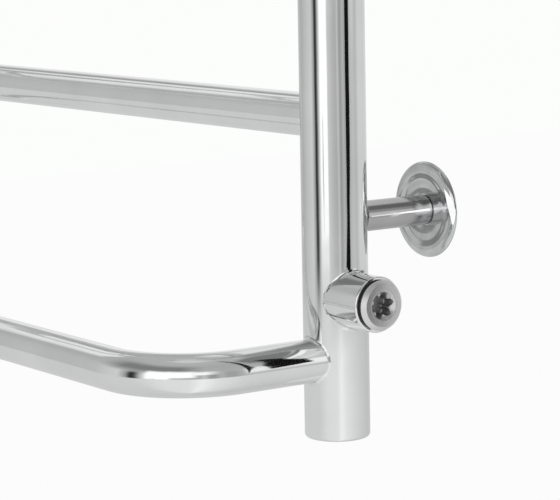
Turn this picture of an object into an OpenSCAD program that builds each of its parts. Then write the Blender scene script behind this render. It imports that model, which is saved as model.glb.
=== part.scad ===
// Ladder towel warmer rack: a water-heated rail on four telescopic wall brackets.
// Frame: origin at the centre of the wall screws on the wall plane,
// +X right, +Y into the wall, +Z up.

/* [View] */
// Sub-part to draw, or "all" for the whole rack

/* [Overall] */
// Distance between the two collector axes
collector_pitch = 500; // [300:10:700]
// Total height of the collectors with their end caps
rack_h = 638; // [500:1:1000]
// Distance from the wall to the collector axes
wall_gap = 56.9; // [50:0.1:90]

/* [Collectors] */
// Outer diameter of a collector tube
collector_d = 32; // [28:0.5:40]
// Wall thickness of a collector tube
collector_wall = 2; // [1:0.1:3]
// Thickness of an end cap
cap_t = 3; // [2:0.1:6]
// Edge rounding of an end cap
cap_round = 2; // [0.5:0.1:2.5]
// Height of the spigot that centres a cap in its tube
cap_spigot = 3; // [1:0.5:8]

/* [Rungs] */
// Outer diameter of a rung tube
rung_d = 21.3; // [16:0.1:25]
// Wall thickness of a rung tube
rung_wall = 1.5; // [1:0.1:2.5]
// Distance from the bottom of the rack to the first rung axis
rung_end = 39; // [30:0.5:60]
// Distance between the two outermost rungs at each end
rung_step = 117; // [80:0.5:140]
// Length of the straight that carries a bowed rung forwards, from the collector axis
bow_lead = 57; // [40:1:90]
// Bend radius of a bowed rung, on its centre line
bow_r = 43; // [32:1:80]

/* [Bosses] */
// Distance from the bottom or top of the rack to a boss axis
boss_end = 69; // [55:1:90]
// Outer diameter of a threaded boss
boss_d = 27; // [24:0.1:32]
// Distance from the collector axis to the end face of a boss
boss_reach = 34.3; // [28:0.1:45]
// Edge rounding of a boss
boss_round = 0.9; // [0.2:0.1:1.5]
// Thread core diameter of a boss
thread_d = 18.64; // [15:0.01:25]

/* [Plug] */
// Outer diameter of the plug and vent flanges
flange_d = 24.2; // [22:0.1:28]
// Thickness of a flange
flange_t = 2.2; // [2:0.1:5]
// Straight part of a flange's rim, next to the seal
flange_land = 0.2; // [0.1:0.1:1]
// Diameter of a flange's flat face
flange_face_d = 20.4; // [16:0.1:24]
// Length of the threaded shank
shank_l = 10; // [8:0.5:16]
// Thickness of the sealing ring's cord
seal_t = 1.9; // [1.5:0.1:3]
// Outer diameter of the sealing ring
seal_d = 23.8; // [20:0.1:26]
// Diameter of the countersink around the drive socket, at the face
sink_d = 14.2; // [12:0.1:16]
// Diameter at the bottom of the countersink
sink_end_d = 9.8; // [9:0.1:12]
// Depth of the countersink
sink_depth = 1.4; // [0.5:0.1:3]
// Depth of the drive socket
socket_depth = 8; // [4:0.5:9]
// Radius to the tips of the six-lobe drive
lobe_tip_r = 6.7; // [4:0.1:7]
// Radius of each lobe of the drive
lobe_r = 1.9; // [1:0.05:2.5]
// Radius of the round core of the drive
lobe_core_r = 4.9; // [3:0.1:6]
// Angle at which the plug came to rest when it was tightened
lobe_turn = 43; // [0:1:60]
// Diameter of the bleed screw's thread
bleed_d = 6; // [5:0.1:8]
// Diameter of the bleed screw's head
bleed_head_d = 9; // [7:0.1:12]

/* [Brackets] */
// Distance from the bottom or top of the rack to a bracket axis
bracket_end = 106.5; // [90:0.5:200]
// Outer diameter of a standoff tube
standoff_d = 15; // [12:0.5:20]
// Wall thickness of a standoff tube
standoff_wall = 2; // [1:0.1:3]
// Gap between a collector and the saddle-cut end of a standoff
standoff_cut = 0.6; // [0.4:0.1:3]
// Gap between a standoff and the wall with the bracket pushed in
standoff_gap = 0.5; // [0.5:0.1:5]
// Distance from the collector axis to the end of the welded stud
stud_end = 32; // [24:0.5:34]
// Length of the wall insert that a standoff slides on
insert_l = 24; // [16:0.5:26]
// Diameter of the screw hole in a wall insert
screw_hole_d = 4.8; // [4:0.1:6]
// Diameter of the bore that takes the screw's head
screw_head_d = 8; // [7:0.1:9]
// Thickness of the insert's floor
insert_floor = 4; // [2:0.1:8]
// Diameter of a grub screw
grub_d = 4; // [3:0.5:5]
// Distance from the wall to a grub screw
grub_y = 9; // [7:0.5:14]

/* [Rosettes] */
// Outer diameter of a rosette
rosette_d = 47.6; // [40:0.1:60]
// Diameter of the crown of a rosette's rounded rim
rosette_crown_d = 39; // [34:0.1:50]
// Height of the rim's crown
rosette_h = 2.9; // [2:0.1:8]
// Diameter of the flat middle round the standoff
rosette_flat_d = 29; // [20:0.5:34]
// Height of the flat middle
rosette_flat_h = 2.2; // [1.5:0.1:8]
// Height of the straight edge at the wall
rosette_edge = 0.4; // [0.2:0.1:2]
// Sheet thickness of a rosette
rosette_t = 1.2; // [0.6:0.1:1.2]

/* [Hidden] */
$fn = 64;
eps = 0.01;
// Radial running clearance of threads and sliding fits
run_fit = 0.05;
// Gap of a sealing ring to the faces it lies between
seal_fit = 0.05;
// Radial clearance of a rosette on its standoff
rosette_fit = 0.09;
cx = collector_pitch / 2;
cy = -wall_gap;
bottom = -rack_h / 2;
top = rack_h / 2;
col_r = collector_d / 2;
col_ir = col_r - collector_wall;
rung_r = rung_d / 2;
rung_ir = rung_r - rung_wall;
bow_y = cy - bow_lead - bow_r;
rung_1_z = bottom + rung_end;
rung_2_z = rung_1_z + rung_step;
rung_6_z = top - rung_end;
rung_5_z = rung_6_z - rung_step;
rung_mid = (rung_5_z - rung_2_z) / 3;
rung_3_z = rung_2_z + rung_mid;
rung_4_z = rung_3_z + rung_mid;
bowed_z = [rung_1_z, rung_3_z, rung_5_z];
straight_z = [rung_2_z, rung_4_z, rung_6_z];
boss_z = [bottom + boss_end, top - boss_end];
bracket_z = [bottom + bracket_end, top - bracket_end];
boss_ir = thread_d / 2;
shank_r = boss_ir - run_fit;
seal_x = boss_reach + seal_fit;
flange_x = seal_x + seal_t + seal_fit;
face_x = flange_x + flange_t;
shank_x = boss_reach - shank_l;
stand_r = standoff_d / 2;
stand_ir = stand_r - standoff_wall;
insert_r = stand_ir - run_fit;
// Flat on the insert's underside that the grub screw bears on
insert_flat = 4.9;
grub_in = insert_flat + 0.3;
grub_out = stand_r - 0.2;

// A cylinder along X from x0 to x1
module rod_x(r, x0, x1) {
    translate([x0, 0, 0]) rotate([0, 90, 0]) cylinder(r = r, h = x1 - x0);
}

// A cylinder along Y from y0 to y1
module rod_y(r, y0, y1) {
    translate([0, y0, 0]) rotate([-90, 0, 0]) cylinder(r = r, h = y1 - y0);
}

// Turns a profile drawn as [radius, distance along +X] about the X axis
module turn_x(points) {
    rotate([0, 90, 0]) rotate_extrude() polygon(points);
}

// The solid of a bowed rung's outside or bore, on its own axis plane
module bow_path(r) {
    for (s = [-1, 1]) {
        translate([s * cx, 0, 0]) rod_y(r, cy - bow_lead, cy);
        translate([s * (cx - bow_r), cy - bow_lead, 0])
            rotate([0, 0, s > 0 ? -90 : 180])
                rotate_extrude(angle = 90) translate([bow_r, 0]) circle(r = r);
    }
    translate([0, bow_y, 0]) rod_x(r, bow_r - cx, cx - bow_r);
}

// Both collectors as solid bars, which cut the rung ends to a saddle
module collector_bars() {
    for (s = [-1, 1])
        translate([s * cx, cy, bottom]) cylinder(r = col_r, h = rack_h);
}

module collector(side) {
    color([0.82, 0.83, 0.84])
    difference() {
        translate([side * cx, cy, bottom + cap_t])
            cylinder(r = col_r, h = rack_h - 2 * cap_t);
        translate([side * cx, cy, bottom]) cylinder(r = col_ir, h = rack_h);
        for (z = straight_z)
            translate([side * cx, cy, z])
                rod_x(rung_ir, side > 0 ? -col_r - 1 : 0, side > 0 ? 0 : col_r + 1);
        for (z = bowed_z)
            translate([side * cx, cy, z]) rod_y(rung_ir, -col_r - 1, 0);
        for (z = boss_z)
            translate([side * cx, cy, z])
                rod_x(boss_ir, side > 0 ? 0 : -col_r - 1, side > 0 ? col_r + 1 : 0);
    }
}

module cap_profile() {
    polygon(concat(
        [[0, 0], [col_r - cap_round, 0]],
        [for (a = [15 : 15 : 75])
            [col_r - cap_round + cap_round * sin(a), cap_round - cap_round * cos(a)]],
        [[col_r, cap_round], [col_r, cap_t], [col_ir - run_fit, cap_t],
         [col_ir - run_fit, cap_t + cap_spigot], [col_ir - 2, cap_t + cap_spigot],
         [col_ir - 2, cap_t], [0, cap_t]]
    ));
}

module end_cap(side, level) {
    color([0.82, 0.83, 0.84])
    translate([side * cx, cy, level < 0 ? bottom : top])
        mirror([0, 0, level < 0 ? 0 : 1])
            rotate_extrude() cap_profile();
}

module bowed_rung(z) {
    color([0.80, 0.81, 0.82])
    difference() {
        translate([0, 0, z]) bow_path(rung_r);
        translate([0, 0, z]) bow_path(rung_ir);
        collector_bars();
    }
}

module straight_rung(z) {
    color([0.80, 0.81, 0.82])
    difference() {
        translate([0, cy, z]) rod_x(rung_r, -cx, cx);
        translate([0, cy, z]) rod_x(rung_ir, -cx - 1, cx + 1);
        collector_bars();
    }
}

module boss_profile() {
    polygon(concat(
        [[boss_ir, 0], [boss_d / 2, 0], [boss_d / 2, boss_reach - boss_round]],
        [for (a = [15 : 15 : 75])
            [boss_d / 2 - boss_round + boss_round * cos(a),
             boss_reach - boss_round + boss_round * sin(a)]],
        [[boss_d / 2 - boss_round, boss_reach], [boss_ir + 0.8, boss_reach],
         [boss_ir, boss_reach - 0.8]]
    ));
}

module boss(side, level) {
    color([0.80, 0.81, 0.82])
    difference() {
        translate([side * cx, cy, level < 0 ? boss_z[0] : boss_z[1]])
            mirror([side > 0 ? 0 : 1, 0, 0])
                rotate([0, 90, 0]) rotate_extrude() boss_profile();
        translate([side * cx, cy, bottom]) cylinder(r = col_r, h = rack_h);
    }
}

// Chamfered rim of a flange, from the land at its seal to its flat face
function rim_points() = [
    [flange_d / 2, flange_x + flange_land], [flange_face_d / 2, face_x]];

module six_lobe(depth) {
    rotate([0, 90, 0])
        linear_extrude(height = depth) {
            circle(r = lobe_core_r);
            for (i = [0 : 5])
                rotate(60 * i + lobe_turn) translate([lobe_tip_r - lobe_r, 0]) circle(r = lobe_r);
        }
}

module blind_plug() {
    color([0.62, 0.62, 0.62])
    translate([cx, cy, boss_z[0]])
        difference() {
            turn_x(concat(
                [[0, shank_x], [shank_r - 1, shank_x], [shank_r, shank_x + 1],
                 [shank_r, flange_x], [flange_d / 2, flange_x]],
                rim_points(), [[0, face_x]]));
            translate([face_x - sink_depth, 0, 0])
                rotate([0, 90, 0])
                    cylinder(r1 = sink_end_d / 2, r2 = sink_d / 2, h = sink_depth + eps);
            translate([face_x - socket_depth, 0, 0]) six_lobe(socket_depth);
        }
}

module seal(level) {
    color([0.07, 0.07, 0.07])
    translate([cx, cy, level < 0 ? boss_z[0] : boss_z[1]])
        turn_x(concat(
            [[shank_r + 0.1, seal_x], [seal_d / 2 - 0.5, seal_x]],
            [for (a = [-60 : 30 : 60])
                [seal_d / 2 - 0.5 + 0.5 * cos(a), seal_x + seal_t / 2 * (1 + sin(a))]],
            [[seal_d / 2 - 0.5, seal_x + seal_t], [shank_r + 0.1, seal_x + seal_t]]));
}

module vent_body() {
    color([0.80, 0.81, 0.82])
    translate([cx, cy, boss_z[1]])
        difference() {
            turn_x(concat(
                [[0, shank_x], [shank_r - 1, shank_x], [shank_r, shank_x + 1],
                 [shank_r, flange_x], [flange_d / 2, flange_x]],
                rim_points(), [[0, face_x]]));
            rod_x(bleed_head_d / 2 + 0.4, face_x - 2, face_x + 1);
            rod_x(bleed_d / 2 + run_fit, shank_x + 2, face_x);
            rod_x(1.5, shank_x - 1, face_x);
        }
}

module bleed_screw() {
    color([0.75, 0.76, 0.77])
    translate([cx, cy, boss_z[1]])
        difference() {
            union() {
                rod_x(bleed_head_d / 2, face_x - 1.7, face_x + 0.8);
                rod_x(bleed_d / 2, shank_x + 3, face_x - 1.6);
            }
            translate([face_x - 0.4, -bleed_head_d, -0.6])
                cube([2, 2 * bleed_head_d, 1.2]);
        }
}

module stud(side, level) {
    color([0.72, 0.73, 0.74])
    difference() {
        translate([side * cx, cy, level < 0 ? bracket_z[0] : bracket_z[1]])
            rod_y(stand_ir - run_fit, 0, stud_end);
        translate([side * cx, cy, bottom]) cylinder(r = col_r, h = rack_h);
    }
}

module standoff(side, level) {
    color([0.66, 0.66, 0.67])
    translate([side * cx, cy, level < 0 ? bracket_z[0] : bracket_z[1]])
        difference() {
            rod_y(stand_r, col_r / 2, wall_gap - standoff_gap);
            rod_y(stand_ir, 0, wall_gap);
            cylinder(r = col_r + standoff_cut, h = 2 * standoff_d, center = true);
            translate([0, wall_gap - grub_y, -standoff_d])
                cylinder(r = grub_d / 2 + run_fit, h = standoff_d);
        }
}

module wall_insert(side, level) {
    color([0.60, 0.61, 0.62])
    translate([side * cx, 0, level < 0 ? bracket_z[0] : bracket_z[1]])
        difference() {
            rod_y(insert_r, -insert_l, 0);
            rod_y(screw_head_d / 2, -insert_l - 1, -insert_floor);
            rod_y(screw_hole_d / 2, -insert_l, 1);
            translate([-insert_r, -insert_l - 1, -insert_flat - insert_r])
                cube([2 * insert_r, insert_l + 2, insert_r]);
        }
}

// Height of a rosette's dished face at a fraction f of the way in from its crown
function dish(f) =
    rosette_flat_h + (rosette_h - rosette_flat_h) * (1 + cos(180 * f)) / 2;

module rosette_profile() {
    outer = rosette_d / 2;
    crown = rosette_crown_d / 2;
    slope = crown - rosette_flat_d / 2;
    hole = stand_r + rosette_fit;
    polygon(concat(
        [[outer - rosette_t, 0], [outer, 0]],
        [for (a = [0 : 15 : 90])
            [crown + (outer - crown) * cos(a),
             rosette_edge + (rosette_h - rosette_edge) * sin(a)]],
        [for (f = [0.2 : 0.2 : 1]) [crown - slope * f, dish(f)]],
        [[hole, rosette_flat_h], [hole, rosette_flat_h - rosette_t]],
        [for (f = [1 : -0.25 : 0.25]) [crown - slope * f, dish(f) - rosette_t]],
        [for (a = [90 : -22.5 : 0])
            [crown + (outer - crown - rosette_t) * cos(a),
             rosette_edge + (rosette_h - rosette_edge - rosette_t) * sin(a)]]
    ));
}

module rosette(side, level) {
    color([0.82, 0.83, 0.84])
    translate([side * cx, 0, level < 0 ? bracket_z[0] : bracket_z[1]])
        rotate([90, 0, 0]) rotate_extrude($fn = 96) rosette_profile();
}

module grub(side, level) {
    color([0.35, 0.35, 0.36])
    translate([side * cx, -grub_y, level < 0 ? bracket_z[0] : bracket_z[1]])
        difference() {
            translate([0, 0, -grub_out]) cylinder(r = grub_d / 2, h = grub_out - grub_in);
            translate([0, 0, -grub_out - eps]) cylinder(r = grub_d / 4, h = 1.3, $fn = 6);
        }
}

collector(-1);  // collector_left
collector(1);  // collector_right
end_cap(-1, -1);  // cap_lower_left
end_cap(1, -1);  // cap_lower_right
end_cap(-1, 1);  // cap_upper_left
end_cap(1, 1);  // cap_upper_right
bowed_rung(rung_1_z);  // bowed_rung_lower
bowed_rung(rung_3_z);  // bowed_rung_middle
bowed_rung(rung_5_z);  // bowed_rung_upper
straight_rung(rung_2_z);  // straight_rung_lower
straight_rung(rung_4_z);  // straight_rung_middle
straight_rung(rung_6_z);  // straight_rung_upper
boss(-1, -1);  // boss_lower_left
boss(1, -1);  // boss_lower_right
boss(-1, 1);  // boss_upper_left
boss(1, 1);  // boss_upper_right
blind_plug();
seal(-1);  // plug_seal
vent_body();
seal(1);  // vent_seal
bleed_screw();
stud(-1, -1);  // stud_lower_left
stud(1, -1);  // stud_lower_right
stud(-1, 1);  // stud_upper_left
stud(1, 1);  // stud_upper_right
standoff(-1, -1);  // standoff_lower_left
standoff(1, -1);  // standoff_lower_right
standoff(-1, 1);  // standoff_upper_left
standoff(1, 1);  // standoff_upper_right
wall_insert(-1, -1);  // insert_lower_left
wall_insert(1, -1);  // insert_lower_right
wall_insert(-1, 1);  // insert_upper_left
wall_insert(1, 1);  // insert_upper_right
rosette(-1, -1);  // rosette_lower_left
rosette(1, -1);  // rosette_lower_right
rosette(-1, 1);  // rosette_upper_left
rosette(1, 1);  // rosette_upper_right
grub(-1, -1);  // grub_lower_left
grub(1, -1);  // grub_lower_right
grub(-1, 1);  // grub_upper_left
grub(1, 1);  // grub_upper_right
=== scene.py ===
import math

import bpy
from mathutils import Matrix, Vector


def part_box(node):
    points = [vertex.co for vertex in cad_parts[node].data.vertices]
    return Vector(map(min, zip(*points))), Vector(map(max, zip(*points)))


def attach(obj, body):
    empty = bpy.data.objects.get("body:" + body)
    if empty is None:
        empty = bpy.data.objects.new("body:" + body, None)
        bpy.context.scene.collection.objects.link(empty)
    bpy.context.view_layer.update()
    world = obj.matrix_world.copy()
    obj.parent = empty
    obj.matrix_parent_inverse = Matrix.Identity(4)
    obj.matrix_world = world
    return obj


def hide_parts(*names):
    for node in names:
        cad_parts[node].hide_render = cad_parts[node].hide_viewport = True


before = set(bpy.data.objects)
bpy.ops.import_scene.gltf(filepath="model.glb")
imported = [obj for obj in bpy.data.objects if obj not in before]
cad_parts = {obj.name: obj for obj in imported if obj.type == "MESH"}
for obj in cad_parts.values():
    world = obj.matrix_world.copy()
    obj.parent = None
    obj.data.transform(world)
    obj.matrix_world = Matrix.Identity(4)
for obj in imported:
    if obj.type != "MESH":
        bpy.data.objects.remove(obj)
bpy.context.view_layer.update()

MM = 0.001
CORNERS = ("lower_left", "lower_right", "upper_left", "upper_right")
Z = Vector((0, 0, 1))


# ---------------------------------------------------------------- dimensions
def span(node):
    """Centre and half size of a CAD node's box, in metres."""
    lo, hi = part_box(node)
    return (lo + hi) / 2, (hi - lo) / 2


col_c, col_h = span("collector_right")
CX, CY, COL_R = col_c.x, col_c.y, col_h.x
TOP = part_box("cap_upper_right")[1].z
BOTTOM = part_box("cap_lower_right")[0].z
RUNG_R = span("straight_rung_lower")[1].z
BOW_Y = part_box("bowed_rung_lower")[0].y + RUNG_R
BOW_R = 43 * MM                 # bend radius of a bowed rung
BOSS_R = span("boss_lower_right")[1].z
BOSS_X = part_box("boss_lower_right")[1].x - CX
BORE_R = 9.32 * MM              # core radius of the boss thread
LEAD = 1.814 * MM               # lead of the boss thread
COL_IR = 14 * MM                # inner radius of a collector
WELD = 1.8 * MM                 # fillet radius of a polished weld
SINK_R = 7.1 * MM               # radius of the plug's countersink at its face
SINK_DEPTH = 2.0 * MM           # depth of the countersink
SOCKET_DEPTH = 8.0 * MM         # depth of the plug's six-lobe socket
LOBE_TIP = 6.3 * MM             # radius to the tips of the socket's lobes
LOBE_R = 1.9 * MM               # radius of one lobe
LOBE_CORE = 4.6 * MM            # radius of the round core between the lobes
LOBE_TURN = math.radians(13)    # how far the first lobe is turned, with the plug screwed in
plug_lo, plug_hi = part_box("blind_plug")
seal_lo, seal_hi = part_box("plug_seal")
FLANGE_R = (plug_hi.z - plug_lo.z) / 2
FACE_X = plug_hi.x - CX
SEAL_X0, SEAL_X1 = seal_lo.x - CX, seal_hi.x - CX
SHANK_X = plug_lo.x - CX


# ---------------------------------------------------------------- materials
def node_tree(name):
    """A new material, its nodes and its shader."""
    mat = bpy.data.materials.new(name)
    mat.use_nodes = True
    nt = mat.node_tree
    return mat, nt, nt.nodes["Principled BSDF"]


def add(nt, kind, **values):
    """A new node whose inputs or settings have the given values."""
    n = nt.nodes.new(kind)
    for key, v in values.items():
        if key in n.inputs:
            n.inputs[key].default_value = v
        else:
            setattr(n, key, v)
    return n


def scaled_coords(nt, scale):
    """Object coordinates, which are the frame's metres, stretched by a scale."""
    tc = add(nt, "ShaderNodeTexCoord")
    mp = add(nt, "ShaderNodeMapping")
    mp.inputs["Scale"].default_value = scale
    nt.links.new(tc.outputs["Object"], mp.inputs["Vector"])
    return mp.outputs["Vector"]


def noise(nt, coords, scale, detail, rough=0.5):
    n = add(nt, "ShaderNodeTexNoise", Scale=scale, Detail=detail, Roughness=rough)
    nt.links.new(coords, n.inputs["Vector"])
    return n.outputs["Fac"]


def spread(nt, fac, low, high, start=0.3, end=0.7):
    """Maps start..end of a value to low..high, and holds it beyond them."""
    m = add(nt, "ShaderNodeMapRange")
    m.inputs["From Min"].default_value = start
    m.inputs["From Max"].default_value = end
    m.inputs["To Min"].default_value = low
    m.inputs["To Max"].default_value = high
    nt.links.new(fac, m.inputs["Value"])
    return m.outputs["Result"]


def tint(nt, fac, dark, light):
    """A colour between dark and light, as a noise goes from 0.3 to 0.7."""
    r = add(nt, "ShaderNodeValToRGB")
    for stop, position, colour in zip(r.color_ramp.elements, (0.3, 0.7), (dark, light)):
        stop.position = position
        stop.color = (*colour, 1)
    nt.links.new(fac, r.inputs["Fac"])
    return r.outputs["Color"]


def bump(nt, shader, layers):
    """Stacks bump layers, each (height, distance in metres, strength)."""
    last = None
    for height, distance, strength in layers:
        b = add(nt, "ShaderNodeBump", Strength=strength, Distance=distance)
        nt.links.new(height, b.inputs["Height"])
        if last is not None:
            nt.links.new(last, b.inputs["Normal"])
        last = b.outputs["Normal"]
    nt.links.new(last, shader.inputs["Normal"])


WAVE_SCALE = 38.0               # waves in a metre of polished tube, as a noise scale


def metal(name, dark, light, rough, grain_scale, grain_size, grain_strength,
          stretch=(1, 1, 1), wave=0.0, cloud=30.0):
    """A metal with cloudy colour, grain in its roughness, fine lines and soft waves."""
    mat, nt, sh = node_tree(name)
    plain = scaled_coords(nt, (1, 1, 1))
    lines = scaled_coords(nt, stretch)
    clouds = noise(nt, plain, cloud, 4.0)
    nt.links.new(tint(nt, clouds, dark, light), sh.inputs["Base Color"])
    sh.inputs["Metallic"].default_value = 1.0
    grain = noise(nt, lines, grain_scale, 5.0, 0.6)
    nt.links.new(spread(nt, grain, *rough), sh.inputs["Roughness"])
    stack = [(grain, grain_size, grain_strength)]
    if wave:
        stack.insert(0, (noise(nt, plain, WAVE_SCALE, 1.0), wave, 1.0))
    bump(nt, sh, stack)
    return mat


chrome = metal("polished_steel", (0.80, 0.805, 0.81), (0.86, 0.865, 0.865),
               (0.035, 0.075), 900.0, 2e-6, 0.25, stretch=(1, 1, 0.12), wave=1.2e-4)
chrome_rung = metal("polished_steel_rung", (0.79, 0.795, 0.80), (0.85, 0.855, 0.855),
                    (0.05, 0.10), 900.0, 2e-6, 0.3, stretch=(0.12, 1, 1), wave=1.0e-4)
chrome_disc = metal("polished_steel_disc", (0.57, 0.575, 0.58), (0.69, 0.695, 0.695),
                    (0.06, 0.12), 1200.0, 2e-6, 0.3, wave=1.6e-4, cloud=160.0)
chrome_weld = metal("polished_weld", (0.76, 0.765, 0.77), (0.84, 0.845, 0.845),
                    (0.06, 0.14), 500.0, 6e-6, 0.5, wave=2.2e-4)
satin = metal("satin_steel", (0.42, 0.42, 0.425), (0.50, 0.50, 0.505),
              (0.12, 0.20), 1500.0, 6e-6, 0.6, stretch=(0.15, 3.0, 0.15))
plated = metal("plated_brass", (0.74, 0.745, 0.75), (0.80, 0.805, 0.81),
               (0.12, 0.20), 1100.0, 4e-6, 0.4)
plug_grey = metal("grey_plating", (0.70, 0.70, 0.70), (0.76, 0.76, 0.76),
                  (0.38, 0.50), 2600.0, 1.2e-5, 0.5, cloud=120.0)
turned = metal("turned_steel", (0.42, 0.425, 0.43), (0.52, 0.525, 0.53),
               (0.26, 0.38), 1600.0, 8e-6, 0.6, stretch=(0.2, 3.0, 0.2))
black_oxide = metal("black_oxide", (0.05, 0.05, 0.053), (0.09, 0.09, 0.095),
                    (0.34, 0.48), 1800.0, 8e-6, 0.5)
inside = metal("tube_inside", (0.30, 0.30, 0.305), (0.42, 0.42, 0.425),
               (0.35, 0.5), 700.0, 8e-6, 0.5)


def paint_socket_shade(mat, centre, radius, deepest, rim):
    """Paints shade into a plating inside a recess: nearer than radius to an X axis, below the rim,
    darker towards the bottom.
    """
    soft_edge, darkest = 0.4 * MM, 0.46
    nt = mat.node_tree
    sh = nt.nodes["Principled BSDF"]
    base = sh.inputs["Base Color"].links[0].from_socket
    place = add(nt, "ShaderNodeVectorMath", operation="SUBTRACT")
    nt.links.new(scaled_coords(nt, (1, 1, 1)), place.inputs[0])
    place.inputs[1].default_value = centre
    across = add(nt, "ShaderNodeVectorMath", operation="MULTIPLY")
    nt.links.new(place.outputs["Vector"], across.inputs[0])
    across.inputs[1].default_value = (0, 1, 1)
    away = add(nt, "ShaderNodeVectorMath", operation="LENGTH")
    nt.links.new(across.outputs["Vector"], away.inputs[0])
    outside = spread(nt, away.outputs["Value"], 0, 1, radius - soft_edge, radius)
    split = add(nt, "ShaderNodeSeparateXYZ")
    nt.links.new(place.outputs["Vector"], split.inputs["Vector"])
    above = spread(nt, split.outputs["X"], darkest, 1, deepest, rim)
    keep = add(nt, "ShaderNodeMath", operation="MAXIMUM")
    nt.links.new(outside, keep.inputs[0])
    nt.links.new(above, keep.inputs[1])
    dim = add(nt, "ShaderNodeVectorMath", operation="SCALE")
    nt.links.new(base, dim.inputs[0])
    nt.links.new(keep.outputs["Value"], dim.inputs["Scale"])
    nt.links.new(dim.outputs["Vector"], sh.inputs["Base Color"])


# Painted shade down in the plug's six-lobe socket, darkest at its bottom.
paint_socket_shade(plug_grey, (CX, CY, span("blind_plug")[0].z), SINK_R + 0.1 * MM,
            FACE_X - 4.6 * MM, FACE_X - 2.2 * MM)


def rubber_material():
    """Black rubber with a little dust on it."""
    mat, nt, sh = node_tree("seal_rubber")
    plain = scaled_coords(nt, (1, 1, 1))
    dust = noise(nt, plain, 1400.0, 4.0)
    nt.links.new(tint(nt, dust, (0.012, 0.012, 0.012), (0.026, 0.026, 0.026)),
                 sh.inputs["Base Color"])
    nt.links.new(spread(nt, dust, 0.42, 0.58), sh.inputs["Roughness"])
    bump(nt, sh, [(dust, 1e-5, 0.4)])
    return mat


rubber = rubber_material()


# ---------------------------------------------------------------- mesh tools
class Build:
    """Collects rings of points and joins them into one mesh."""

    def __init__(self):
        self.verts, self.faces = [], []

    def ring(self, points):
        """Adds points and gives their numbers."""
        start = len(self.verts)
        self.verts.extend(points)
        return range(start, start + len(points))

    def join(self, a, b, closed=True):
        n = len(a)
        for i in range(n if closed else n - 1):
            j = (i + 1) % n
            self.faces.append((a[i], a[j], b[j], b[i]))

    def loft(self, rings, closed=True):
        """Adds rings and joins each to the next."""
        ids = [self.ring(r) for r in rings]
        for a, b in zip(ids, ids[1:]):
            self.join(a, b, closed)
        return ids

    def fan(self, ids, centre, flip=False):
        """Closes a ring with triangles to its centre."""
        self.verts.append(centre)
        c = len(self.verts) - 1
        n = len(ids)
        for i in range(n):
            j = (i + 1) % n
            self.faces.append((ids[j], ids[i], c) if flip else (ids[i], ids[j], c))

    def make(self, name, material, body, nodes=(), sharp=40.0):
        """Turns the faces into a piece that rides on a body and replaces CAD nodes."""
        mesh = bpy.data.meshes.new(name)
        mesh.from_pydata([tuple(v) for v in self.verts], [], self.faces)
        mesh.validate()
        mesh.shade_smooth()
        mesh.set_sharp_from_angle(angle=math.radians(sharp))
        mesh.materials.append(material)
        ob = bpy.data.objects.new(name, mesh)
        bpy.context.scene.collection.objects.link(ob)
        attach(ob, body)
        if nodes:
            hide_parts(*nodes)


def angles(n):
    """The angles of n points round a circle."""
    return [2 * math.pi * k / n for k in range(n)]


def arc_between(a, b, s):
    """The vector a fraction s of the way round from a to b, at a's length."""
    angle = a.angle(b)
    if angle < 1e-4:
        return a.copy()
    return (a * math.sin((1 - s) * angle) + b * math.sin(s * angle)) / math.sin(angle)


class Axis:
    """A direction with two cross directions: points are (along, around, radius)."""

    def __init__(self, origin, along):
        self.o, self.a = Vector(origin), Vector(along).normalized()
        side = Z if abs(self.a.z) < 0.9 else Vector((1, 0, 0))
        self.l = side.cross(self.a).normalized()
        self.w = self.a.cross(self.l).normalized()

    def at(self, t, phi, r):
        return self.o + self.a * t + self.l * (r * math.cos(phi)) + self.w * (r * math.sin(phi))

    def circle(self, t, r, n):
        return [self.at(t, phi, r) for phi in angles(n)]


def rounded(points, radii, steps):
    """An open profile of (radius, along) points with its inner corners rounded."""
    out = [Vector(points[0])]
    for i in range(1, len(points) - 1):
        p, q, s = Vector(points[i - 1]), Vector(points[i]), Vector(points[i + 1])
        r = radii[i] if i < len(radii) else 0
        u, v = (p - q).normalized(), (s - q).normalized()
        bend = math.pi - u.angle(v)
        if r <= 0 or bend < 1e-3:
            out.append(q)
            continue
        cut = min(r * math.tan(bend / 2), 0.49 * (p - q).length, 0.49 * (s - q).length)
        r = cut / math.tan(bend / 2)
        centre = q + (u + v).normalized() * (r / math.cos(bend / 2))
        a, b = q + u * cut - centre, q + v * cut - centre
        for k in range(steps + 1):
            out.append(centre + arc_between(a, b, k / steps))
    out.append(Vector(points[-1]))
    return [tuple(p) for p in out]


def lathe(build, axis, profile, n=128):
    """Turns an open (radius, along) profile about an axis."""
    tiny = 1e-7
    rings = [axis.circle(t, r, n) for r, t in profile if r > tiny]
    ids = build.loft(rings)
    if profile[0][0] <= tiny:
        build.fan(ids[0], axis.at(profile[0][1], 0, 0), flip=True)
    if profile[-1][0] <= tiny:
        build.fan(ids[-1], axis.at(profile[-1][1], 0, 0))


def saddle(phi, r):
    """Distance from a collector's axis at which a weld meets a branch of radius r."""
    u = (r + WELD) * math.cos(phi)
    return math.sqrt((COL_R + WELD) ** 2 - u * u)


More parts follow.
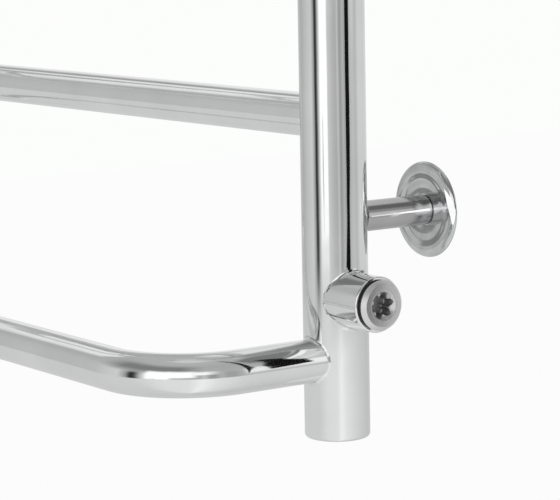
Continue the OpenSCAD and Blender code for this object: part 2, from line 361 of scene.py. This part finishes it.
def weld_bead(name, origin, along, r):
    """The polished fillet of a weld between a collector and a branch of radius r."""
    ax = Axis(origin, along)
    b = Build()
    steps = 9
    rows = [[] for _ in range(steps + 1)]
    for phi in angles(160):
        ripple = 0.93 - 0.04 * math.sin(9 * phi + r * 3000) - 0.025 * math.sin(23 * phi + 1.3)
        t, u, w = saddle(phi, r), (r + WELD) * math.cos(phi), (r + WELD) * math.sin(phi)
        centre = Vector((t, u, w))
        on_branch = Vector((t, r * math.cos(phi), r * math.sin(phi)))
        f = COL_R / (COL_R + WELD)
        on_col = Vector((t * f, u * f, w))
        p, q = on_branch - centre, on_col - centre
        for i in range(steps + 1):
            s = i / steps
            arc = arc_between(p, q, s)
            swell = 1 + (ripple - 1) * math.sin(math.pi * s)
            x = centre + arc * swell
            rows[i].append(ax.o + ax.a * x.x + ax.l * x.y + ax.w * x.z)
    b.loft(rows)
    b.make(name, chrome_weld, "rack", sharp=80)


def clamp(x):
    """x, held between 0 and 1."""
    return min(max(x, 0), 1)


def thread_depth(s):
    """Depth of a rounded 55 degree thread at phase s in turns, from 0 to 1."""
    x = abs((s % 1.0) * 2 - 1)
    return clamp((x - 0.14) / 0.72)


# ---------------------------------------------------------------- collectors
def collector(side, name):
    """Outer wall and rounded welded ends of an upright tube, open where its bosses meet it."""
    x0 = side * CX
    ax = Axis((x0, CY, 0), (0, 0, 1))
    edge, fine, coarse, near_boss = 2.0 * MM, 1.0 * MM, 6.0 * MM, 14 * MM
    b = Build()
    bosses = [span("boss_lower_right")[0].z, span("boss_upper_right")[0].z]
    heights = []
    z = BOTTOM
    while z < TOP:
        near = min(abs(z - h) for h in bosses) < near_boss
        heights.append(z)
        z += fine if near else coarse
    heights = [h for h in heights if BOTTOM + edge < h < TOP - edge]
    low = [(0, BOTTOM), (COL_R * 0.5, BOTTOM), (COL_R, BOTTOM), (COL_R, BOTTOM + 2 * edge)]
    low = rounded(low, [0, 0, edge, 0], 8)[:-1]
    high = [(r, TOP + BOTTOM - t) for r, t in reversed(low)]
    profile = low + [(COL_R, h) for h in heights] + high
    lathe(b, ax, profile, 144)

    def in_hole(face):
        """Whether a face lies in the way from a boss into the tube."""
        c = sum((b.verts[i] for i in face), Vector()) / len(face)
        if (c.x - x0) * side < 0:
            return False
        return any(math.hypot(c.y - CY, c.z - h) < BORE_R + 1.6 * MM for h in bosses)

    b.faces = [f for f in b.faces if not in_hole(f)]
    suffix = "right" if side > 0 else "left"
    b.make(name, chrome, "rack",
           ("collector_" + suffix, "cap_lower_" + suffix, "cap_upper_" + suffix), sharp=50)


collector(1, "collector_tube_right")
collector(-1, "collector_tube_left")


# ---------------------------------------------------------------- rungs
def rung_welds(node, z, towards):
    """The weld beads at both ends of a rung; towards is its direction at the right end."""
    for side, tag in ((-1, "left"), (1, "right")):
        along = (side * towards[0], towards[1], 0)
        weld_bead(f"weld_{node}_{tag}", (side * CX, CY, z), along, RUNG_R)


def straight_rung(node):
    """Straight tube whose ends are cut to fit the collectors."""
    z = span(node)[0].z
    n, steps = 112, 40
    b = Build()
    ax = Axis((0, CY, z), (1, 0, 0))

    def end(side):
        return [ax.at(side * (CX - saddle(phi, RUNG_R)), phi, RUNG_R) for phi in angles(n)]

    limit = CX - COL_R - WELD - 1 * MM
    stations = [limit * (-1 + 2 * i / steps) for i in range(steps + 1)]
    b.loft([end(-1)] + [ax.circle(s, RUNG_R, n) for s in stations] + [end(1)])
    b.make(node + "_tube", chrome_rung, "rack", (node,))
    rung_welds(node, z, (-1, 0))


def bowed_rung(node):
    """Tube that leaves both collectors forwards and bends round to run between them."""
    z = span(node)[0].z
    n = 112
    first, lead, half = COL_R + WELD + 1 * MM, CY - BOW_Y - BOW_R, CX - BOW_R
    ahead, left = Vector((0, -1, 0)), Vector((-1, 0, 0))
    path = [(Vector((CX, CY - first - (lead - first) * i / 8, z)), ahead) for i in range(9)]
    for i in range(1, 33):
        a = math.pi / 2 * i / 32
        p = Vector((CX - BOW_R + BOW_R * math.cos(a), CY - lead - BOW_R * math.sin(a), z))
        path.append((p, Vector((-math.sin(a), -math.cos(a), 0))))
    path += [(Vector((half * (1 - i / 24), BOW_Y, z)), left) for i in range(1, 25)]
    mirror = [(Vector((-p.x, p.y, z)), Vector((t.x, -t.y, 0))) for p, t in reversed(path[:-1])]

    def offsets(towards):
        """Ring of steps from the middle of the tube to its wall."""
        side = Z.cross(towards)
        return [side * (RUNG_R * math.cos(phi)) + Z * (RUNG_R * math.sin(phi))
                for phi in angles(n)]

    def end(side):
        return [Vector((side * CX, CY - saddle(phi, RUNG_R), z)) + step
                for phi, step in zip(angles(n), offsets(Vector((0, -side, 0))))]

    rings = [[p + step for step in offsets(t)] for p, t in path + mirror]
    b = Build()
    b.loft([end(1)] + rings + [end(-1)])
    b.make(node + "_tube", chrome_rung, "rack", (node,))
    rung_welds(node, z, (0, -1))


for level in ("lower", "middle", "upper"):
    straight_rung("straight_rung_" + level)
    bowed_rung("bowed_rung_" + level)


# ---------------------------------------------------------------- bosses
def boss(node, side):
    """Threaded boss, its weld, and the stretch of tube wall seen through its bore."""
    z = span(node)[0].z
    ax = Axis((side * CX, CY, z), (side, 0, 0))
    n = 128
    b = Build()
    first = [ax.at(saddle(phi, BOSS_R), phi, BOSS_R) for phi in angles(n)]
    crest = BORE_R + 0.03 * MM
    outer = rounded([(BOSS_R, COL_R + WELD + 0.8 * MM), (BOSS_R, BOSS_X),
                     (crest + 1.5 * MM, BOSS_X), (crest + 0.2 * MM, BOSS_X - 1.3 * MM)],
                    [0, 0.9 * MM, 0.3 * MM, 0], 7)
    rings = [first] + [ax.circle(t, r, n) for r, t in outer]
    depth, step = 0.9 * MM, LEAD / 12
    t = BOSS_X - 1.3 * MM
    while t > COL_IR - 1.5 * MM:
        fade = clamp((BOSS_X - 1.0 * MM - t) / (0.8 * MM))
        rings.append([ax.at(t, phi, crest + depth * fade
                            * thread_depth(t / LEAD - phi / (2 * math.pi)))
                      for phi in angles(n)])
        t -= step
    b.loft(rings)
    b.make(node + "_threaded", chrome, "rack", (node,), sharp=46)
    weld_bead("weld_" + node, (side * CX, CY, z), (side, 0, 0), BOSS_R)
    lining = Build()
    inner = Axis((side * CX, CY, 0), (0, 0, 1))
    lining.loft([inner.circle(z + (i / 12 - 0.5) * 40 * MM, COL_IR, 96) for i in range(13)])

    def open_face(face):
        c = sum((lining.verts[i] for i in face), Vector()) / len(face)
        return (c.x - side * CX) * side > 0 and \
            math.hypot(c.y - CY, c.z - z) < BORE_R + 1.2 * MM

    lining.faces = [f for f in lining.faces if not open_face(f)]
    lining.make("waterway_" + node, inside, "rack", sharp=60)


for level in ("lower", "upper"):
    boss(f"boss_{level}_right", 1)
    boss(f"boss_{level}_left", -1)


# ---------------------------------------------------------------- plug, vent and seals
def shank_rings(ax, n):
    """External thread of a plug from its inner end to the seal face."""
    rings = [ax.circle(SHANK_X, 6.5 * MM, n), ax.circle(SHANK_X, 8.2 * MM, n)]
    root, depth, step = 9.12 * MM, 0.85 * MM, LEAD / 12
    t = SHANK_X + 0.5 * MM
    while t < SEAL_X1:
        fade = clamp((t - SHANK_X) / (1.6 * MM)) * clamp((SEAL_X1 - t) / (1.0 * MM))
        rings.append([ax.at(t, phi, root + depth * fade
                            * thread_depth(t / LEAD - phi / (2 * math.pi)))
                      for phi in angles(n)])
        t += step
    return rings


def flange_profile():
    """Chamfered rim of a flange from its seal side to its flat face."""
    land = SEAL_X1 + 0.05 * MM
    return rounded([(9.2 * MM, land), (FLANGE_R, land), (FLANGE_R, land + 0.22 * MM),
                    (10.2 * MM, FACE_X), (9.3 * MM, FACE_X)],
                   [0, 0.1 * MM, 0.25 * MM, 0.3 * MM, 0], 4)


def lobe_radius(phi):
    """Radius of the six-lobe socket's outline at an angle."""
    step = math.pi / 3
    a = (phi - LOBE_TURN + step / 2) % step - step / 2
    away = LOBE_TIP - LOBE_R
    s = away * math.sin(a)
    if abs(s) >= LOBE_R:
        return LOBE_CORE
    return max(away * math.cos(a) + math.sqrt(LOBE_R * LOBE_R - s * s), LOBE_CORE)


def plug():
    """Blind plug: thread, chamfered flange, countersink and six-lobe socket."""
    ax = Axis((CX, CY, span("blind_plug")[0].z), (1, 0, 0))
    n = 336
    b = Build()
    rings = shank_rings(ax, n)
    rings += [ax.circle(t, r, n) for r, t in flange_profile()]
    rings += [ax.circle(FACE_X, r * MM, n) for r in (8.6, 7.8, 7.25)]
    rings.append(ax.circle(FACE_X - 0.04 * MM, SINK_R + 0.02 * MM, n))
    sink_end = 5.6 * MM

    def cone(f):
        """Ring part way down the countersink, opened out where a lobe cuts it."""
        r = SINK_R + (sink_end - SINK_R) * f
        return [ax.at(FACE_X - SINK_DEPTH * f, phi, max(r, min(lobe_radius(phi), SINK_R)))
                for phi in angles(n)]

    def lobes(depth, inset=0.0):
        return [ax.at(FACE_X - depth, phi, lobe_radius(phi) - inset) for phi in angles(n)]

    rings += [cone(i / 8) for i in range(1, 9)]
    rings += [lobes(t * MM) for t in (2.1, 2.8, 3.6, 5.0, 6.5, 7.6)]
    rings.append(lobes(SOCKET_DEPTH, 0.5 * MM))
    ids = b.loft(rings)
    b.fan(ids[0], ax.at(SHANK_X + 0.3 * MM, 0, 0), flip=True)
    b.fan(ids[-1], ax.at(FACE_X - SOCKET_DEPTH - 0.1 * MM, 0, 0))
    b.make("plug_six_lobe", plug_grey, "plug", ("blind_plug",), sharp=38)


def seal(node, body):
    """Sealing ring, squeezed between a boss and a flange."""
    ax = Axis((CX, CY, span(node)[0].z), (1, 0, 0))
    r1 = span(node)[1].z
    mid, half, bulge = (SEAL_X0 + SEAL_X1) / 2, (SEAL_X1 - SEAL_X0) / 2, 1.25 * MM
    b = Build()
    turns = [2 * math.pi * i / 32 for i in range(33)]
    lathe(b, ax, [(r1 - bulge + bulge * math.cos(a), mid + half * math.sin(a)) for a in turns])
    b.make(node + "_ring", rubber, body, (node,), sharp=80)


plug()
seal("plug_seal", "plug_seal_ring")
seal("vent_seal", "vent_seal_ring")


def vent():
    """Air vent: thread, flange and the seat of its bleed screw."""
    ax = Axis((CX, CY, span("vent_body")[0].z), (1, 0, 0))
    n = 160
    b = Build()
    rings = shank_rings(ax, n)
    rings += [ax.circle(t, r, n) for r, t in flange_profile()]
    inner = rounded([(8.9 * MM, FACE_X), (4.95 * MM, FACE_X), (4.95 * MM, FACE_X - 2 * MM),
                     (3.1 * MM, FACE_X - 2 * MM)], [0, 0.2 * MM, 0.2 * MM, 0], 4)
    rings += [ax.circle(t, r, n) for r, t in inner]
    b.loft(rings)
    b.make("vent_body_turned", plated, "vent", ("vent_body",), sharp=40)


def bleed_screw():
    """Slotted bleed screw: a domed head cut by a straight slot."""
    ax = Axis((CX, CY, span("bleed_screw")[0].z), (1, 0, 0))
    lo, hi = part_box("bleed_screw")
    top, r_head = hi.x - CX, (hi.z - lo.z) / 2
    half, depth = 0.6 * MM, 1.2 * MM
    b = Build()
    prof = rounded([(3.0 * MM, SHANK_X + 3 * MM), (3.0 * MM, top - 2.5 * MM),
                    (r_head, top - 2.5 * MM), (r_head, top)],
                   [0, 0, 0.15 * MM, 0], 4)[:-1]
    lathe(b, ax, prof)
    edge = 0.25 * MM
    for s in (-1, 1):
        rows = []
        for shrink, level in ((0, top - 2.35 * MM), (0, top - edge), (edge * 0.3, top - edge * 0.3),
                              (edge, top), (r_head * 0.5, top)):
            r = r_head - shrink
            start = math.asin(min(half / r, 1))
            row = []
            for i in range(49):
                a = start + (math.pi - 2 * start) * i / 48
                row.append((level, r * math.cos(a), s * r * math.sin(a)))
            rows.append(row)
        rows.append([(top, y, s * half) for _, y, _ in rows[0]])
        rows.append([(top - depth, y, s * half) for _, y, _ in rows[0]])
        rows.append([(top - depth, y, 0) for _, y, _ in rows[0]])
        b.loft([[ax.o + Vector(p) for p in row] for row in rows], closed=False)
    b.make("bleed_screw_slotted", plated, "bleed_screw_body",
           ("bleed_screw",), sharp=35)


vent()
bleed_screw()


# ---------------------------------------------------------------- brackets
def standoff(corner):
    """Satin tube cut to fit the collector, with a hole for its grub screw."""
    node = "standoff_" + corner
    _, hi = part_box(node)
    c, h = span(node)
    ax = Axis((c.x, 0, c.z), (0, 1, 0))
    r, ri = h.x, h.x - 2 * MM
    n = 128
    b = Build()

    def cut(phi, radius, back):
        """Place along Y of the saddle-cut end that faces the collector."""
        across = radius * math.cos(phi)
        return CY + math.sqrt((COL_R + 0.6 * MM) ** 2 - across * across) + back

    rings = [ax.circle(hi.y - 20 * MM, ri, n)]
    for radius, back in ((ri, 0.2), (ri + 0.2 * MM, 0), (r - 0.3 * MM, 0), (r - 0.09 * MM, 0.07),
                         (r, 0.3), (r, 1.0)):
        rings.append([ax.at(cut(phi, radius, back * MM), phi, radius) for phi in angles(n)])
    clear = CY + COL_R + 2.4 * MM
    rings += [ax.circle(clear + (hi.y - 1 * MM - clear) * i / 40, r, n) for i in range(41)]
    end = rounded([(r, hi.y - 0.8 * MM), (r, hi.y), (ri, hi.y), (ri, hi.y - 19 * MM)],
                  [0, 0.35 * MM, 0.25 * MM, 0], 5)
    rings += [ax.circle(t, radius, n) for radius, t in end]
    b.loft(rings)
    g = span("grub_" + corner)[0]

    def in_hole(face):
        """Whether a face lies where the grub screw's hole is."""
        p = sum((b.verts[i] for i in face), Vector()) / len(face)
        return p.z < c.z - 3 * MM and math.hypot(p.x - g.x, p.y - g.y) < 2.1 * MM

    b.faces = [f for f in b.faces if not in_hole(f)]
    b.make(node + "_tube", satin, "rack", (node,), sharp=40)
    collar = Build()
    down = Axis((g.x, g.y, c.z), (0, 0, -1))
    rows = []
    for rad, push in ((2.75, 0.0), (2.2, 0.0), (2.08, 0.08), (2.06, 0.6), (2.06, 2.2)):
        row = []
        for a in angles(48):
            x = rad * MM * math.cos(a)
            row.append(down.at(math.sqrt(r * r - x * x) + (0.012 - push) * MM, 0, 0)
                       + Vector((x, rad * MM * math.sin(a), 0)))
        rows.append(row)
    collar.loft(rows)
    collar.make("grub_hole_" + corner, satin, "rack", sharp=50)


def rosette(corner):
    """Dished disc with a rounded rim and a shadow groove round its standoff."""
    node = "rosette_" + corner
    lo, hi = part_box(node)
    c, h = span(node)
    ax = Axis((c.x, 0, c.z), (0, -1, 0))
    outer, height, sheet, edge = h.x, hi.y - lo.y, 1.2 * MM, 0.4 * MM
    crown, flat, low, hole = 19.5 * MM, 14.5 * MM, 2.2 * MM, 7.59 * MM

    def dish(f):
        """Point of the dished face a fraction f of the way in from the crown."""
        return crown - (crown - flat) * f, low + (height - low) * (1 + math.cos(math.pi * f)) / 2

    def rim(thin, k):
        a = math.pi / 2 * k / 24
        return (crown + (outer - crown - thin) * math.cos(a),
                edge + (height - edge - thin) * math.sin(a))

    brink, sunk = hole + 0.5 * MM, low - 0.8 * MM
    groove = [(hole, low - sheet), (hole, sunk), (brink, sunk), (brink, low - 0.15 * MM)]
    prof = [groove[-1], (brink + 0.08 * MM, low - 0.04 * MM), (brink + 0.25 * MM, low)]
    prof += [dish(1 - i / 16) for i in range(17)] + [rim(0, k) for k in range(23, -1, -1)]
    prof += [(outer, 0.15 * MM), (outer - 0.15 * MM, 0), (outer - sheet, 0)]
    prof += [rim(sheet, k) for k in range(25)]
    prof += [(r, t - sheet) for r, t in (dish(i / 8) for i in range(1, 9))] + [groove[0]]
    for part, outline, nodes in (("disc", prof, (node,)), ("groove", groove, ())):
        b = Build()
        lathe(b, ax, [(r, t - hi.y) for r, t in outline], 192)
        b.make(f"{node}_{part}", chrome_disc, node + "_slider", nodes)


for corner in CORNERS:
    standoff(corner)
    rosette(corner)

# The CAD nodes that no piece replaces are the studs, the wall inserts and the grub screws.
for node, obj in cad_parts.items():
    if obj.hide_render:
        continue
    obj.data.materials.clear()
    obj.data.materials.append(turned if node.startswith(("stud", "insert")) else black_oxide)


# ---------------------------------------------------------------- studio
PALE = 0.973                    # grey of the room as the camera sees it
GAIN = 1.18                     # how much brighter than its look a grey is, to allow for the metal


def glow(name, verts, value, faces=None, one_sided=True):
    """A stage piece that glows in one grey, from its front only or from both sides."""
    mesh = bpy.data.meshes.new(name)
    mesh.from_pydata(verts, [], faces or [tuple(range(len(verts)))])
    ob = bpy.data.objects.new(name, mesh)
    bpy.context.scene.collection.objects.link(ob)
    mat = bpy.data.materials.new(name)
    mat.use_nodes = True
    nt = mat.node_tree
    nt.nodes.clear()
    out = add(nt, "ShaderNodeOutputMaterial")
    em = add(nt, "ShaderNodeEmission", Strength=1.0)
    em.inputs["Color"].default_value = (value, value, value, 1)
    if one_sided:
        clear = add(nt, "ShaderNodeBsdfTransparent")
        geo = add(nt, "ShaderNodeNewGeometry")
        mix = add(nt, "ShaderNodeMixShader")
        nt.links.new(geo.outputs["Backfacing"], mix.inputs["Fac"])
        nt.links.new(em.outputs["Emission"], mix.inputs[1])
        nt.links.new(clear.outputs["BSDF"], mix.inputs[2])
        nt.links.new(mix.outputs["Shader"], out.inputs["Surface"])
    else:
        nt.links.new(em.outputs["Emission"], out.inputs["Surface"])
    mesh.materials.append(mat)
    ob.visible_diffuse = False
    ob.visible_shadow = False
    return ob


floor_z, reach = BOTTOM - 0.9, 8
floor = glow("floor", [(-reach, -reach, floor_z), (reach, -reach, floor_z),
                       (reach, reach, floor_z), (-reach, reach, floor_z)], PALE)
floor.visible_glossy = False


def srgb(v):
    """Brightness of a grey given from 0 to 255, as a screen shows it."""
    v /= 255
    return v / 12.92 if v <= 0.04045 else ((v + 0.055) / 1.055) ** 2.4


def ramp(nt, fac, stops, gain):
    """A grey ramp whose stops are (position, grey as it should look in the metal)."""
    r = nt.nodes.new("ShaderNodeValToRGB")
    els = r.color_ramp.elements
    while len(els) > 1:
        els.remove(els[-1])
    for i, (pos, grey) in enumerate(stops):
        e = els.new(pos) if i else els[0]
        e.position = pos
        g = srgb(grey) * gain
        e.color = (g, g, g, 1)
    nt.links.new(fac, r.inputs["Fac"])
    return r.outputs["Color"]


def studio():
    """White room seen directly; in the metal, softboxes and dark flags round the rack."""
    world = bpy.data.worlds.new("studio")
    bpy.context.scene.world = world
    world.use_nodes = True
    nt = world.node_tree
    nt.nodes.clear()
    tc = nt.nodes.new("ShaderNodeTexCoord")
    sep = nt.nodes.new("ShaderNodeSeparateXYZ")
    nt.links.new(tc.outputs["Generated"], sep.inputs["Vector"])

    def calc(op, a, b=None, c=None):
        m = nt.nodes.new("ShaderNodeMath")
        m.operation = op
        for i, v in enumerate((a, b, c)):
            if v is None:
                continue
            if isinstance(v, (int, float)):
                m.inputs[i].default_value = v
            else:
                nt.links.new(v, m.inputs[i])
        return m.outputs["Value"]

    back = calc("MULTIPLY", sep.outputs["Y"], -1.0)
    turn = calc("ARCTAN2", sep.outputs["X"], back)
    around = calc("MULTIPLY_ADD", turn, 0.5 / math.pi, 0.5)
    rise = calc("MULTIPLY_ADD", calc("ARCSINE", sep.outputs["Z"]), 1 / math.pi, 0.5)

    def az(stops):
        return [((a + 180) / 360, g) for a, g in stops]

    def el(stops):
        return [((e + 90) / 180, g) for e, g in stops]

    walls = ramp(nt, around, az([
        (-180, 200), (-128, 215), (-112, 196), (-100, 188), (-75, 172), (-50, 190), (-24, 203),
        (-13, 150), (-9, 55), (-4, 45), (-1, 110), (4, 190), (10, 218), (33, 218), (37, 200),
        (55, 178), (67, 170), (70, 190), (73, 188), (77, 158), (82, 150), (87, 170), (91, 176),
        (96, 160), (104, 160), (118, 182), (126, 188), (140, 180),
        (152, 203), (180, 204)]), GAIN)
    ground = ramp(nt, around, az([
        (-180, 190), (-110, 198), (-60, 201), (-10, 204), (20, 219), (55, 222), (70, 238),
        (90, 222), (120, 210), (150, 200), (180, 192)]), GAIN)
    ceiling = ramp(nt, rise, el([
        (-90, 190), (14, 184), (24, 172), (34, 170), (50, 166), (62, 172), (76, 176),
        (84, 205), (90, 205)]), GAIN)
    band = ramp(nt, rise, el([(-90, 0), (-10.6, 0), (-8.8, 255), (14, 255), (24, 90),
                              (45, 0), (90, 0)]), 1.0)
    low = ramp(nt, rise, el([(-90, 255), (-10.6, 255), (-8.8, 0), (90, 0)]), 1.0)

    def mix(fac, a, b):
        m = nt.nodes.new("ShaderNodeMix")
        m.data_type = "RGBA"
        nt.links.new(fac, m.inputs["Factor"])
        nt.links.new(a, m.inputs[6])
        nt.links.new(b, m.inputs[7])
        return m.outputs[2]

    def panel(behind, grey, turns, rises):
        """A soft-edged light or flag: faded in and out between four azimuths, four heights."""
        ins = (0, 255, 255, 0)
        wide = ramp(nt, around, az(list(zip(turns, ins))), 1.0)
        tall = ramp(nt, rise, el(list(zip(rises, ins))), 1.0)
        g = srgb(grey) * GAIN
        flat = nt.nodes.new("ShaderNodeRGB")
        flat.outputs[0].default_value = (g, g, g, 1)
        return mix(calc("MULTIPLY", wide, tall), behind, flat.outputs[0])

    room = mix(band, ceiling, walls)
    for grey, turns, rises in (
            (124, (-60, -30, 45, 75), (20, 36, 48, 62)),
            (262, (6, 12, 33, 37), (-8.7, -7.3, 23, 33)),
            (165, (15.5, 17.5, 19, 21), (-7.6, -6.8, -5.6, -5.0)),
            (258, (30, 34, 58, 66), (-2, 1, 24, 34)),
            (250, (56, 62, 74, 90), (9, 13, 22, 30)),
            (224, (-104, -100, -80, -74), (22, 30, 44, 52)),
            (222, (-150, -138, -116, -110), (0, 6, 24, 32)),
            (150, (-110, -107, -104, -101), (18, 26, 44, 52)),
            (218, (-180, -180, -134, -124), (24, 32, 58, 68)),
            (218, (158, 170, 180, 180), (24, 32, 58, 68)),
            (238, (115, 121, 131, 137), (-4, 4, 18, 24)),
            (120, (130, 136, 168, 178), (32, 38, 54, 62))):
        room = panel(room, grey, turns, rises)
    room = mix(low, room, ground)
    lp = nt.nodes.new("ShaderNodeLightPath")
    seen = nt.nodes.new("ShaderNodeBackground")
    seen.inputs["Color"].default_value = (PALE, PALE * 1.012, PALE, 1)
    lit = nt.nodes.new("ShaderNodeBackground")
    nt.links.new(room, lit.inputs["Color"])
    both = nt.nodes.new("ShaderNodeMixShader")
    nt.links.new(lp.outputs["Is Camera Ray"], both.inputs["Fac"])
    nt.links.new(lit.outputs["Background"], both.inputs[1])
    nt.links.new(seen.outputs["Background"], both.inputs[2])
    out = nt.nodes.new("ShaderNodeOutputWorld")
    nt.links.new(both.outputs["Shader"], out.inputs["Surface"])


studio()


def flag(name, ends):
    """Black flag near the rack, seen only in polished metal; ends are (x, y, low, high)."""
    low = [(CX + x * MM, CY + y * MM, BOTTOM + z * MM) for x, y, z, _ in ends]
    high = [(CX + x * MM, CY + y * MM, BOTTOM + z * MM) for x, y, _, z in reversed(ends)]
    glow(name, low + high, 0.007, one_sided=False).visible_camera = False


flag("flag_tall", ((143, 15.6, 33, 620), (191, 74, 125, 620)))
flag("flag_low", ((79, -0.7, 44, 74), (60.5, 14, 49, 137)))


def near_bracket():
    """Small lights and a flag by the lower right bracket, seen only in its own metal."""
    z = span("rosette_lower_right")[0].z

    def place(x, y, t):
        """A point in millimetres from the standoff's axis and from the wall."""
        return CX + x * MM, y * MM, z + t * MM

    def rim_light(crown=19.5, away=14):
        """A curved strip round the rosette's rim; its outline is (angle, low, high)."""
        outline = ((-38, 3, 12), (-22, 0, 12), (0, -4, 11), (25, -10, 10), (50, -11, 8),
                   (65, -7, 5), (87, -1, 2))
        verts = []
        for turn, low, high in outline:
            a = math.radians(turn)
            x, y = crown + away * math.sin(a), -0.4 - away * math.cos(a)
            verts += [place(x, y, low), place(x, y, high)]
        faces = [(i, i + 1, i + 3, i + 2) for i in range(0, len(verts) - 2, 2)]
        return glow("rim_light", verts, 1.6, faces)

    def card(name, points, value):
        return glow(name, [place(*p) for p in points], value)

    for ob in (rim_light(),
               card("rosette_flag", ((-80, -37, -16), (-80, -37, -2), (-42, -37, -1),
                                     (-42, -37, -16)), 0.3),
               card("streak_faint", ((9, -39, 0.3), (9, -39, 0.9), (9, -22, 1.1),
                                     (9, -22, 0.3)), 1.7),
               card("streak_light", ((9, -22, 0.3), (9, -22, 1.1), (9, -2.6, 1.9),
                                     (9, -2.6, 0.2)), 2.3)):
        ob.visible_camera = False


near_bracket()


# ---------------------------------------------------------------- camera
def camera():
    """Three-quarter view of the lower right corner through a long lens."""
    az, el, roll = math.radians(55.14), math.radians(8.15), math.radians(-1.06)
    dist, lens, sensor = 1178.24 * MM, 156.751, 36
    back = Vector((math.sin(az) * math.cos(el), -math.cos(az) * math.cos(el), math.sin(el)))
    right0 = (-back).cross(Z).normalized()
    up0 = right0.cross(-back)
    aim = Vector((CX, CY, BOTTOM + 92.08 * MM))
    place = aim + right0 * (-26.49 * MM) + back * dist
    right = right0 * math.cos(roll) + up0 * math.sin(roll)
    up = -right0 * math.sin(roll) + up0 * math.cos(roll)
    data = bpy.data.cameras.new("camera")
    data.lens, data.sensor_width = lens, sensor
    data.clip_start, data.clip_end = 0.05, 60
    cam = bpy.data.objects.new("camera", data)
    bpy.context.scene.collection.objects.link(cam)
    m = cam.matrix_world.copy()
    for row in range(3):
        m[row][0], m[row][1], m[row][2], m[row][3] = right[row], up[row], back[row], place[row]
    cam.matrix_world = m
    bpy.context.scene.camera = cam


camera()
bpy.context.scene.view_settings.view_transform = "Standard"
